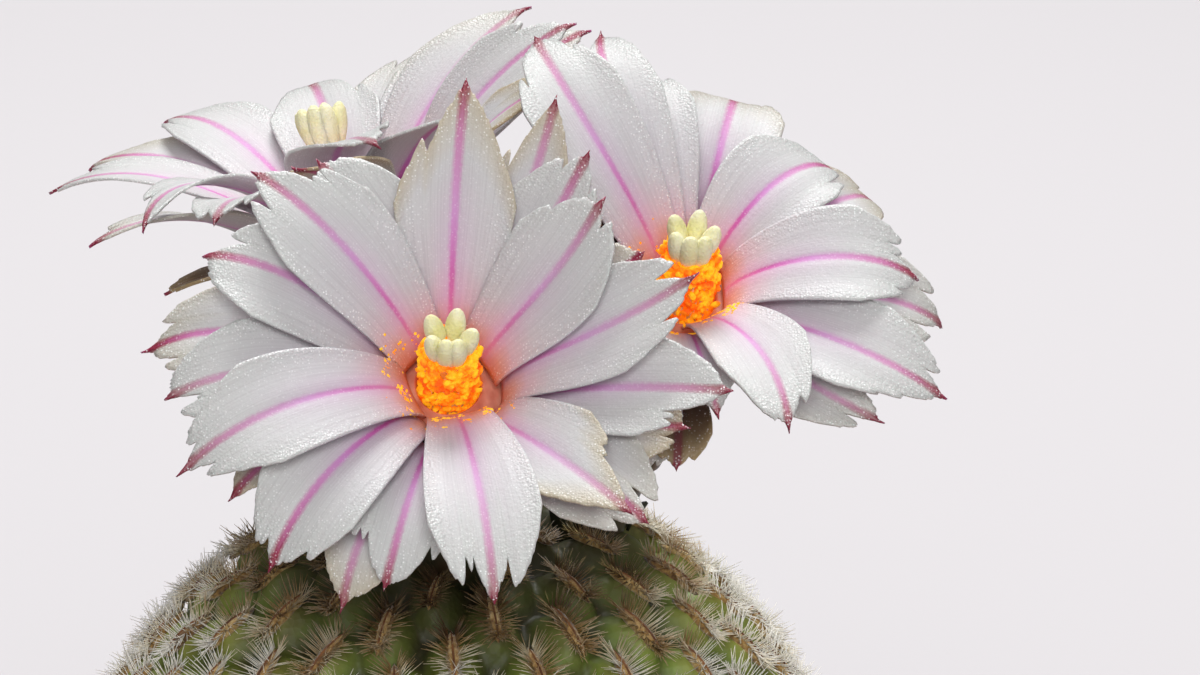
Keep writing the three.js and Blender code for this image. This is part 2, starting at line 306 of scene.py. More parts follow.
def add_thread(bm, middle, direction, length, radii, segments, kind):
    """Adds a thin cone along a direction, in the material of its kind."""
    before = set(bm.faces)
    made = bmesh.ops.create_cone(
        bm, cap_ends=True, segments=segments, radius1=radii[0], radius2=radii[1], depth=length
    )["verts"]
    turn = direction.to_track_quat("Z", "Y").to_matrix().to_4x4()
    bmesh.ops.transform(bm, matrix=Matrix.Translation(middle) @ turn, verts=made)
    for face in set(bm.faces) - before:
        face.material_index = kind


def as_mesh(bm, name):
    """Stores a mesh that is being built."""
    mesh = bpy.data.meshes.new(name)
    bm.to_mesh(mesh)
    bm.free()
    return mesh


def turned(profile, steps):
    """A solid of revolution about Z from (radius, height) points in metres."""
    bm = bmesh.new()
    chain = [bm.verts.new((radius, 0, height)) for radius, height in profile]
    edges = [bm.edges.new(pair) for pair in zip(chain, chain[1:])]
    bmesh.ops.spin(
        bm, geom=chain + edges, cent=(0, 0, 0), axis=(0, 0, 1), angle=math.tau, steps=steps, use_merge=True
    )
    bmesh.ops.remove_doubles(bm, verts=bm.verts, dist=0.001 * MM)
    bmesh.ops.recalc_face_normals(bm, faces=bm.faces)
    return bm


def around(radius, turn, height):
    """The place at a turn round Z."""
    return Vector((radius * math.cos(turn), radius * math.sin(turn), height))


def smoothed(value):
    """A value held between 0 and 1, eased at both ends."""
    value = min(max(value, 0), 1)
    return value * value * (3 - 2 * value)


# ---- Settings ----


def length_setting(name, description, size):
    """A setting that is a length, given in millimetres."""
    return FloatProperty(
        name=name, description=description, default=size * MM, unit="LENGTH", subtype="DISTANCE"
    )


def colour_setting(name, description, tone):
    """A setting that is a colour."""
    return FloatVectorProperty(
        name=name, description=description, subtype="COLOR", size=4, default=colour(tone)
    )


class PotSettings(bpy.types.PropertyGroup):
    wall: length_setting("Wall", "Thickness of the pot's wall", 3.5)
    clay: colour_setting("Clay", "Colour of the dry fired clay", "#b9683f")
    bloom: colour_setting("Bloom", "Colour of the lime that dries on the clay", "#cfa58b")


class SoilSettings(bpy.types.PropertyGroup):
    grains: IntProperty(name="Grains", description="How many stones lie on the soil", default=900, min=0)
    largest: length_setting("Largest grain", "Length of the largest stones", 2.9)


class StemSettings(bpy.types.PropertyGroup):
    spacing: length_setting("Tubercle spacing", "Distance between neighbouring tubercles", 3.3)
    height: length_setting("Tubercle height", "From the valley to the crest", 1.9)


class SpineSettings(bpy.types.PropertyGroup):
    pairs: IntProperty(
        name="Spine pairs", description="Pairs of spines on one areole", default=45, min=4, max=60
    )
    length: length_setting("Spine length", "Length of a spine in the middle of its comb", 1.3)
    areole: length_setting("Areole length", "Length of the felted areole", 3.1)


class FlowerSettings(bpy.types.PropertyGroup):
    thickness: length_setting("Petal thickness", "Thickness of a petal", 0.14)
    anthers: IntProperty(name="Anthers", description="Anthers in one flower", default=560, min=20)
    lobes: IntProperty(name="Stigma lobes", description="Rays of the stigma", default=6, min=3, max=12)


class StageSettings(bpy.types.PropertyGroup):
    floor: colour_setting("Floor", "Colour of the floor", "#cbc8ca")
    lens: FloatProperty(name="Lens", description="Focal length of the camera, in millimetres", default=178.8)


def settings(name):
    """One group of the panel's settings."""
    return getattr(bpy.context.scene, "cactus_" + name)


# ---- Pot ----


def clay_material():
    """Terracotta: iron-red clay, turned and fired unglazed, so dull, fine-grained and a little blotched."""
    pot = settings("pot")
    add, shade, place = new_material("terracotta")
    blotch = add("TexNoise", pattern(place, 22, Detail=5.0, Roughness=0.6))
    grain = add("TexNoise", pattern(place, 0.6, Detail=4.0))
    turning = pattern(place, 14, Distortion=1.2, Detail=2.0)
    rings = add("TexWave", turning, out="Fac", bands_direction="Z")
    bloom = add("ValToRGB", {"Fac": blotch}, [(0.5, 0.0), (0.72, 0.75)])
    tone = add("Mix", {"Factor": bloom, 6: pot.clay, 7: pot.bloom})
    speck = add("ValToRGB", {"Fac": grain}, [(0.3, "#9a8478"), (0.62, "#ffffff")])
    specked = add("Mix", {"Factor": 0.55, 6: tone, 7: speck}, blend_type="MULTIPLY")
    relief = add("Math", {0: rings, 1: grain}, operation="ADD")
    bump = add("Bump", {"Height": relief, "Strength": 0.35, "Distance": 0.12 * MM})
    return shade({"Base Color": specked, "Roughness": 0.86, "Normal": bump})


class CACTUS_OT_pot(bpy.types.Operator):
    """Turn the clay pot with its rolled collar and drain hole"""

    bl_idname = "cactus.pot"
    bl_label = "Clay pot"

    def execute(self, context):
        wall = settings("pot").wall
        height = POT_HIGH.z
        rim = POT_HIGH.x
        collar_foot = height - 15 * MM
        step = 2.2 * MM
        drain = 4.5 * MM
        floor = 4.5 * MM

        def outer(z):
            return POT_FOOT + (rim - step - POT_FOOT) * z / height

        def arc(centre, radius, start, end, count=6):
            angles = [math.radians(start + (end - start) * i / count) for i in range(count + 1)]
            return [(centre[0] + radius * math.cos(a), centre[1] + radius * math.sin(a)) for a in angles]

        soft = 1.4 * MM
        profile = [(drain, 0), (drain + 6 * MM, 0)]
        profile += arc((outer(0) - soft, soft), soft, -90, 0)
        profile += [(outer(z), z) for z in (12 * MM, 24 * MM, 36 * MM, collar_foot - 0.6 * MM)]
        profile += arc((outer(collar_foot) + step - soft, collar_foot + soft), soft, -90, 0)
        profile += [(outer(height - 6 * MM) + step, height - 6 * MM)]
        profile += arc((rim - 1.6 * MM, height - 1.6 * MM), 1.6 * MM, 0, 90)
        inner_rim = outer(height) - wall
        profile += arc((inner_rim + 1.4 * MM, height - 1.4 * MM), 1.4 * MM, 90, 180)
        profile += [(outer(z) - wall, z) for z in (46 * MM, 30 * MM, 15 * MM)]
        profile += arc((outer(floor) - wall - soft, floor + soft), soft, 0, -90)
        profile += [(drain + 0.5 * MM, floor), (drain, floor - 0.5 * MM), (drain, 0)]
        bm = turned(profile, 144)
        for vert in bm.verts:
            wander = noise.noise(vert.co / (19 * MM)) * 0.12 * MM
            if vert.co.z > 0.5 * MM:
                vert.co += Vector((vert.co.x, vert.co.y, 0)).normalized() * wander
        finish_piece("clay_pot", bm, [clay_material()], ["terracotta_pot"])
        return {"FINISHED"}


# ---- Soil ----


def soil_material():
    """Cactus mix: sieved bark, peat and pumice grit, so a dull crumb with dark and pale specks."""
    add, shade, place = new_material("cactus_mix")
    crumb = add("TexVoronoi", pattern(place, 0.9, Randomness=1.0))
    fine = add("TexNoise", pattern(place, 0.5, Detail=6.0))
    tones = [(0.1, "#2a1d14"), (0.45, "#4a3524"), (0.75, "#6b5039"), (0.95, "#9a8468")]
    tone = add("ValToRGB", {"Fac": crumb.node.outputs["Color"]}, tones)
    height = add("Math", {0: crumb, 1: fine}, operation="ADD")
    bump = add("Bump", {"Height": height, "Strength": 0.9, "Distance": 0.4 * MM})
    return shade({"Base Color": tone, "Roughness": 0.93, "Normal": bump})


def stone_material(name, dark, pale):
    """Crushed stone: pumice, granite or lava grit, broken and tumbled, so rough, pitted and dusty."""
    return mottled_material(name, 2.2, 3.0, [(0.35, dark), (0.65, pale)], 0.88, (0.35, 0.6, 0.12, False))


def grain_shapes(rng, count):
    """A few broken-stone shapes, each 1 unit long."""
    shapes = []
    for _ in range(count):
        bm = bmesh.new()
        bmesh.ops.create_icosphere(bm, subdivisions=2, radius=0.5)
        seed = Vector([rng.uniform(-9, 9) for _ in range(3)])
        for vert in bm.verts:
            vert.co *= 1 + 0.55 * noise.noise(vert.co * 2.1 + seed)
        bmesh.ops.scale(bm, vec=(1, rng.uniform(0.65, 0.9), rng.uniform(0.5, 0.75)), verts=bm.verts)
        shapes.append(as_mesh(bm, "grain"))
    return shapes


class CACTUS_OT_soil(bpy.types.Operator):
    """Fill the pot with gritty cactus mix"""

    bl_idname = "cactus.soil"
    bl_label = "Soil and grit"

    def execute(self, context):
        soil = settings("soil")
        rng = random.Random(11)
        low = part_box("potting_soil")[0]
        top = SOIL_HIGH.z - 0.9 * MM
        edge = SOIL_HIGH.x - 0.15 * MM
        foot_radius = POT_FOOT - settings("pot").wall
        bury = math.sqrt(STEM_RADIUS**2 - (STEM_CENTRE.z - top) ** 2) - 1.6 * MM
        profile = [(2 * MM, low.z), (foot_radius - 0.6 * MM, low.z), (edge, top - 0.5 * MM)]
        rings = 26
        profile += [(edge + (bury - edge) * i / rings, top) for i in range(1, rings + 1)]
        profile += [(bury - 1.5 * MM, top - 4 * MM), (4 * MM, top - 18 * MM), (2 * MM, low.z)]
        bm = turned(profile, 150)
        for vert in bm.verts:
            if vert.co.z > top - 0.2 * MM:
                swell = noise.noise(vert.co / (4 * MM)) * 0.5 * MM
                vert.co.z += swell + noise.noise(vert.co / (1.1 * MM)) * 0.25 * MM
        shapes = grain_shapes(rng, 7)
        for _ in range(soil.grains):
            size = soil.largest * (0.28 + 0.72 * rng.random() ** 2.6)
            radius = math.sqrt(rng.uniform((bury + 0.8 * MM) ** 2, (edge - 0.6 * size) ** 2))
            turn = rng.uniform(0, math.tau)
            spot = around(radius, turn, top + size * rng.uniform(0.02, 0.24))
            tumble = Matrix.Rotation(rng.uniform(0, math.tau), 4, "Z")
            tumble @= Matrix.Rotation(rng.uniform(-0.5, 0.5), 4, "X")
            before = len(bm.faces)
            add_copy(bm, rng.choice(shapes), Matrix.Translation(spot) @ tumble @ Matrix.Scale(size, 4))
            bm.faces.ensure_lookup_table()
            kind = rng.choice((1, 1, 2, 2, 3))
            for face in bm.faces[before:]:
                face.material_index = kind
        materials = [
            soil_material(),
            stone_material("pumice_grit", "#a89a84", "#d8ccb6"),
            stone_material("granite_grit", "#6e6a66", "#a29c94"),
            stone_material("lava_grit", "#4a3028", "#7c5240"),
        ]
        finish_piece("soil_and_grit", bm, materials, ["potting_soil"])
        return {"FINISHED"}


# ---- Stem ----


def areole_places():
    """Unit directions of the areoles, on a cactus's spirals, from the crown down to the soil."""
    spacing = settings("stem").spacing
    total = int(4 * math.pi * STEM_RADIUS**2 / (0.9 * spacing**2))
    lowest = (SOIL_HIGH.z - STEM_CENTRE.z - 2.5 * MM) / STEM_RADIUS
    places = []
    for i in range(total):
        height = 1 - (2 * i + 1) / total
        if height < lowest:
            break
        places.append(around(math.sqrt(1 - height * height), i * GOLDEN_ANGLE, height))
    return places


def upward_frame(direction):
    """At a spot on the stem: across it, up the stem towards the crown, and outwards."""
    across = Vector((0, 0, 1)).cross(direction).normalized()
    return across, direction.cross(across).normalized(), direction


def tubercle_height(direction, tree, frames):
    """How far the skin stands out at a direction, from 0 in a valley to 1 on a crest."""
    best = 0
    for _, index, _ in tree.find_n(direction, 4):
        across, upward, outward = frames[index]
        offset = (direction - outward) * (STEM_RADIUS / MM)
        a = abs(offset.dot(upward)) / TUBERCLE_LONG
        b = abs(offset.dot(across)) / TUBERCLE_WIDE
        best = max(best, math.exp(-(a**2.6) - b**2))
    return best


def skin_material():
    """Cactus skin: a waxy green rind with pale flecks, brown where the sun and age have corked it, and
    painted near black as shade in the valleys and on the crown.
    """
    add, shade, place = new_material("cactus_rind")
    crest = add("Attribute", {}, out="Fac", attribute_name="crest")
    mottle = add("TexNoise", pattern(place, 2.6, Detail=5.0))
    flecks = add("TexVoronoi", pattern(place, 0.34))
    # Painted shade: the skin's green darkens to near black down in the valleys between the tubercles, by the
    # crest's height.
    tones = [(0.05, "#120d07"), (0.3, "#3e431b"), (0.62, "#7b8f38"), (1.0, "#a8b25a")]
    depth = add("ValToRGB", {"Fac": crest}, tones)
    tone = add("ValToRGB", {"Fac": mottle}, [(0.35, "#b09a78"), (0.6, "#ffffff")])
    body = add("Mix", {"Factor": 0.8, 6: depth, 7: tone}, blend_type="MULTIPLY")
    height = add("SeparateXYZ", {"Vector": place}, out="Z")
    foot = {"Value": height, 1: SOIL_HIGH.z + 5 * MM, 2: SOIL_HIGH.z - 1 * MM, 3: 0.0, 4: 0.85}
    corked = add("Mix", {"Factor": add("MapRange", foot), 6: body, 7: colour("#8b7350")})
    # Painted shade: the skin goes near black towards the top of the crown, where the flowers shade it.
    crown = {"Value": height, 1: STEM_TOP.z - 4 * MM, 2: STEM_TOP.z - 1 * MM, 3: 0.0, 4: 0.85}
    crown_shaded = add("Mix", {"Factor": add("MapRange", crown), 6: corked, 7: colour("#2b1f14")})
    bump = add("Bump", {"Height": flecks, "Strength": 0.5, "Distance": 0.06 * MM})
    tissue = flesh(0.12, (0.4, 1.0, 0.2), 0.6)
    return shade({"Base Color": crown_shaded, "Roughness": 0.55, "Normal": bump, **tissue})


class CACTUS_OT_stem(bpy.types.Operator):
    """Grow the round stem with its spirals of tubercles, and its taproot"""

    bl_idname = "cactus.stem"
    bl_label = "Stem"

    def execute(self, context):
        stem = settings("stem")
        places = areole_places()
        tree = KDTree(len(places))
        for index, place in enumerate(places):
            tree.insert(place, index)
        tree.balance()
        frames = [upward_frame(place) for place in places]
        shoulder = math.sin(SHOULDER)
        root_length = STEM_CENTRE.z + shoulder * STEM_RADIUS - STEM_LOW.z
        bm = bmesh.new()
        bmesh.ops.create_icosphere(bm, subdivisions=7, radius=1)
        crest = bm.verts.layers.float.new("crest")
        for vert in bm.verts:
            direction = vert.co.normalized()
            if direction.z > shoulder - 0.02:
                rise = tubercle_height(direction, tree, frames)
                rise *= smoothed((direction.z - shoulder) / 0.12)
                wobble = noise.noise(direction * 14) * 0.18 * MM + noise.noise(direction * 60) * 0.07 * MM
                vert.co = direction * (VALLEY + stem.height * rise + wobble)
                vert[crest] = rise
            else:
                down = (math.asin(direction.z) - SHOULDER) / (math.radians(-90) - SHOULDER)
                ring = Vector((direction.x, direction.y, 0)).normalized()
                radius = VALLEY * math.cos(SHOULDER) * max(1 - down, 0) ** 1.35
                vert.co = ring * radius
                vert.co.z = VALLEY * shoulder - root_length * down
                vert[crest] = 0.1
        bmesh.ops.translate(bm, vec=STEM_CENTRE, verts=bm.verts)
        finish_piece("tubercled_stem", bm, [skin_material()], ["cactus_stem"])
        return {"FINISHED"}


# ---- Spines ----


def spine_material():
    """Comb spines: thin horny bristles, straw-white and a little glassy, brown on the crown, partly a real
    stain and partly painted shade from the flowers.
    """
    add, shade, place = new_material("comb_spine")
    patch = add("TexNoise", pattern(place, 2.6, Detail=4.0))
    height = add("SeparateXYZ", {"Vector": place}, out="Z")
    # Towards the crown the spines turn brown: partly a real stain, partly painted shade under the flowers.
    crown = {"Value": height, 1: STEM_TOP.z - 4.5 * MM, 2: STEM_TOP.z - 1.2 * MM, 3: 0.0, 4: 0.38}
    stain_and_shade = add("Math", {0: patch, 1: add("MapRange", crown)}, operation="ADD")
    tones = [(0.5, "#fffaec"), (0.64, "#ecdcb4"), (0.76, "#a9824f"), (0.9, "#553722")]
    tone = add("ValToRGB", {"Fac": stain_and_shade}, tones)
    return shade({"Base Color": tone, "Roughness": 0.42, **flesh(0.5, (1.0, 0.9, 0.7), 0.5)})


def felt_material():
    """Areole felt: a short dense wool pad, tan, going dark with dust and age."""
    add, shade, place = new_material("areole_felt")
    fuzz = add("TexNoise", pattern(place, 0.22, Detail=4.0))
    patch = add("TexNoise", pattern(place, 2.4))
    mixed = add("Math", {0: fuzz, 1: patch}, operation="MULTIPLY")
    tone = add("ValToRGB", {"Fac": mixed}, [(0.14, "#5f4225"), (0.25, "#a07c46"), (0.4, "#cdb27b")])
    bump = add("Bump", {"Height": fuzz, "Strength": 1.0, "Distance": 0.12 * MM})
    return shade({"Base Color": tone, "Roughness": 0.95, "Sheen Weight": 0.5, "Normal": bump})


def seam_material():
    """The seam between the two rows of spines: bare corky tissue, red-brown."""
    return mottled_material("areole_seam", 0.8, 3.0, [(0.3, "#4d2a17"), (0.7, "#8a5c35")], 0.8)


# How far the end spines of a comb lean along it.
COMB_FAN = math.radians(62)
# The pieces that the combs are shared out to, by the height on a unit stem at which each piece ends, and
# the height above which the combs are woolly.
BANDS = {"upper": 0.44, "middle": -0.12, "lower": -1}
WOOLLY_ABOVE = 0.86
# No comb stands this near the middle of a floral tube.
TUBE_CLEARANCE = 2.5 * MM


def comb(rng, wool):
    """One areole with its two rows of spines: X across the tubercle, Y up the stem, Z outwards."""
    spines = settings("spines")
    half = spines.areole / 2
    bm = bmesh.new()

    def pad(width, height, lift, kind):
        before = set(bm.faces)
        made = bmesh.ops.create_uvsphere(bm, u_segments=8, v_segments=8, radius=1)["verts"]
        bmesh.ops.scale(bm, vec=(width, half, height), verts=made)
        for vert in made:
            vert.co.z += lift - 0.14 * (vert.co.y / half) ** 2 * MM
        for face in set(bm.faces) - before:
            face.material_index = kind

    def bristle(root, direction, length, thick):
        middle = root + direction * length / 2
        add_thread(bm, middle, direction, length, (thick, 0.3 * thick), 3, 2)

    pad(0.34 * MM, 0.3 * MM, 0.02 * MM, 0)
    pad(0.09 * MM, 0.34 * MM, 0.05 * MM, 1)
    for i in range(spines.pairs):
        along = -1 + 2 * (i + 0.5) / spines.pairs
        for side in (-1, 1):
            fan = COMB_FAN * along + rng.gauss(0, 0.07)
            lift = math.radians(rng.gauss(30, 14))
            direction = around(math.cos(lift), fan, math.sin(lift))
            direction.x *= side
            root = Vector((side * 0.16 * MM, along * half * 0.94, 0.16 * MM - 0.12 * along * along * MM))
            length = spines.length * (1 - 0.3 * along * along) * rng.uniform(0.75, 1.2)
            bristle(root, direction.normalized(), length, 0.036 * MM)
    for _ in range(wool):
        # The wool is thickest at the lower end of the areole.
        low = rng.random() < 0.6
        slant = rng.gauss(0, 0.7), rng.gauss(-0.5 if low else 0.3, 0.5), rng.uniform(0.3, 0.9)
        seat = rng.uniform(-1, -0.6) if low else rng.uniform(-1, 1)
        root = Vector((rng.gauss(0, 0.2), seat * half / MM * 0.85, 0.1)) * MM
        bristle(root, Vector(slant).normalized(), spines.length * rng.uniform(0.4, 0.8), 0.035 * MM)
    return as_mesh(bm, "comb")


def clear_of_tubes(direction):
    """Areoles that a flower has grown from, or that its tube covers, carry no comb."""
    spot = STEM_CENTRE + direction * STEM_RADIUS
    return all((spot - tube_line(flower)[0]).length >= TUBE_CLEARANCE for flower in FLOWERS.values())


class CACTUS_OT_spines(bpy.types.Operator):
    """Set a comb of spines on each tubercle"""

    bl_idname = "cactus.spines"
    bl_label = "Spine combs"

    def execute(self, context):
        rng = random.Random(5)
        shapes = [comb(rng, 40) for _ in range(6)]
        woolly = [comb(rng, 56) for _ in range(3)]
        stem = settings("stem")
        tip = VALLEY + stem.height - 0.05 * MM
        bands = {name: bmesh.new() for name in BANDS}
        for direction in areole_places():
            if not clear_of_tubes(direction):
                continue
            across, upward, outward = upward_frame(direction)
            lean = Matrix.Rotation(rng.gauss(0, 0.1), 4, outward)
            place = Matrix((across, upward, outward)).transposed().to_4x4()
            scale = rng.uniform(0.9, 1.1) * (0.72 + 0.28 * smoothed((1 - direction.z) / 0.14))
            matrix = Matrix.Translation(STEM_CENTRE + outward * tip) @ lean @ place @ Matrix.Scale(scale, 4)
            choice = woolly if direction.z > WOOLLY_ABOVE else shapes
            band = next(name for name, foot in BANDS.items() if direction.z > foot)
            add_copy(bands[band], rng.choice(choice), matrix)
        materials = [felt_material(), seam_material(), spine_material()]
        for name, bm in bands.items():
            finish_piece(f"{name}_spine_combs", bm, materials)
        return {"FINISHED"}


# ---- Flowers: shared places ----


def flower_matrix(flower):
    """The flower's frame: +Z out of its throat, +X as near as it can be to the pot's +X."""
    out = Vector(flower["facing"]).normalized()
    right = (Vector((1, 0, 0)) - out * out.x).normalized()
    back = out.cross(right)
    turn = Matrix((right, back, out)).transposed().to_4x4()
    return Matrix.Translation(STEM_TOP + Vector(flower["throat"]) * MM) @ turn


def tube_line(flower, sink=0.3 * MM):
    """Corner points of the cubic curve that the floral tube follows, from the crown to the throat."""
    x, y = flower["spot"]
    reach = STEM_RADIUS / MM + 0.3
    outward = Vector((x, y, math.sqrt(reach**2 - x * x - y * y))).normalized()
    matrix = flower_matrix(flower)
    throat = matrix.translation
    out = (matrix.to_3x3() @ Vector((0, 0, 1))).normalized()
    start = STEM_CENTRE + outward * (STEM_RADIUS + sink)
    stretch = 0.4 * (throat - start).length
    return [start, start + outward * stretch, throat - out * stretch, throat]


def curve_point(corners, t):
    """A point and a direction on a cubic curve."""
    a, b, c, d = corners
    s = 1 - t
    point = a * s**3 + b * (3 * s * s * t) + c * (3 * s * t * t) + d * t**3
    slope = (b - a) * (3 * s * s) + (c - b) * (6 * s * t) + (d - c) * (3 * t * t)
    return point, slope.normalized()


# ---- Petals ----


def midrib(row, steps):
    """The petal's middle line from claw to tip: distance from the axis and height in mm, rise in radians."""
    _, length, _, layer, lift, tip = row[:6]

    def rise(v):
        bend = (CLAW_RISE - lift) * math.exp(-v / CLAW_REACH) + (tip - lift) * v * v
        return math.radians(lift + bend)

    radius = CLAW_RADIUS + LAYER_OUT * layer
    height = CLAW_HEIGHT - LAYER_DOWN * layer
    line = [(radius, height, rise(0))]
    for i in range(steps):
        slope = rise((i + 0.5) / steps)
        radius += length / steps * math.cos(slope)
        height += length / steps * math.sin(slope)
        line.append((radius, height, rise((i + 1) / steps)))
    return line


RIB_STEPS = 240


class Blade:
    """The curved surface that a petal lies in, in its flower's frame, in millimetres."""

    def __init__(self, row, rng, twist=0, pointed=False):
        self.bearing, _, self.width, _, _, _, self.sweep = row[:7]
        self.twist = math.radians(twist)
        self.pointed = pointed
        self.line = midrib(row, RIB_STEPS)
        self.flutter = rng.uniform(0.5, 1.0)
        self.phase = rng.uniform(0, math.tau)
        self.hook = rng.choice((-30, -15, 10, 45))

    def half_width(self, v):
        opening = math.sin(math.pi / 2 * min(v / WIDEST_AT, 1)) ** 1.5
        return self.width / 2 * (CLAW_WIDTH + (1 - CLAW_WIDTH) * opening)

    def point(self, u, v, above=0.0):
        """The place at u across, from -1 to 1, and v along, from 0 to 1."""
        radius, height, rise = self.line[min(int(round(v * RIB_STEPS)), RIB_STEPS)]
        turn = math.radians(self.bearing + self.sweep * v * v)
        outward = around(1, turn, 0)
        sideways = Vector((-math.sin(turn), math.cos(turn), 0))
        upward = outward * -math.sin(rise)
        upward.z = math.cos(rise)
        roll = self.twist * smoothed(v / 0.5)
        sideways, upward = (
            sideways * math.cos(roll) + upward * math.sin(roll),
            upward * math.cos(roll) - sideways * math.sin(roll),
        )
        half = self.half_width(v)
        # The cup across the petal, a flutter of its sides, the groove of its midrib, shallow folds and a
        # hooked tip.
        lift = PETAL_CUP * half * u * u
        lift += 0.1 * self.flutter * math.sin(9 * v + self.phase + (1.4 if u > 0 else 0)) * u * u * v
        lift -= 0.09 * math.exp(-((u / 0.14) ** 2)) * math.sin(math.pi * min(v, 1))
        lift += 0.035 * math.cos(7.5 * u + self.phase) * v
        lift += 0.35 * self.hook / 45 * max(0, (v - 0.93) / 0.07) ** 2
        place = outward * radius + sideways * (u * half) + upward * (lift + above)
        place.z += height
        return place


def ragged_end(rng, pointed):
    """How far each lengthwise line of a petal runs: a short point, and an unevenly torn, toothed end."""
    shoulder = rng.uniform(0.26, 0.36) + (0.14 if pointed else 0)
    power = 1.5 if pointed else rng.uniform(1.9, 2.7)
    mucro = rng.uniform(0.045, 0.08)
    notches = []
    for side in rng.sample((-1, 1, -1, 1), rng.choice((1, 2, 2, 3))):
        notches.append((side, rng.uniform(0.2, 0.7), rng.uniform(0.05, 0.13), rng.uniform(0.1, 0.22)))
    seed = rng.uniform(0, 99)

    def end(u):
        reach = 1 - mucro * (1 - math.exp(-abs(u) / 0.06)) - shoulder * abs(u) ** power
        for side, place, depth, width in notches:
            beyond = u * side - place
            reach -= depth * math.exp(-abs(beyond) / (0.035 if beyond > 0 else width))
        reach += 0.014 * noise.noise(Vector((u * 14, seed, 0)))
        return reach + 0.008 * noise.noise(Vector((u * 45, seed, 5)))

    return end


def petal_mesh(blade, rng, thickness, marks, across=70, along=34):
    """One petal in its flower's frame, in metres, with its own map and marks."""
    bm = bmesh.new()
    chart = bm.loops.layers.uv.new("blade")
    bmesh.ops.create_grid(bm, x_segments=across, y_segments=along, size=0.5)
    marked = bm.verts.layers.float_vector.new("marks")
    end = ragged_end(rng, blade.pointed)
    for face in bm.faces:
        for loop in face.loops:
            loop[chart].uv = (loop.vert.co.x + 0.5, loop.vert.co.y + 0.5)
    for vert in bm.verts:
        u = 2 * vert.co.x
        t = vert.co.y + 0.5
        # Crowds the lines towards the middle, where the point of the petal is.
        u = 0.55 * u + 0.45 * u**3
        vert[marked] = marks
        vert.co = blade.point(u, t * end(u)) * MM
    bmesh.ops.recalc_face_normals(bm, faces=bm.faces)
    bmesh.ops.solidify(bm, geom=bm.faces, thickness=thickness)
    bmesh.ops.recalc_face_normals(bm, faces=bm.faces)
    return bm


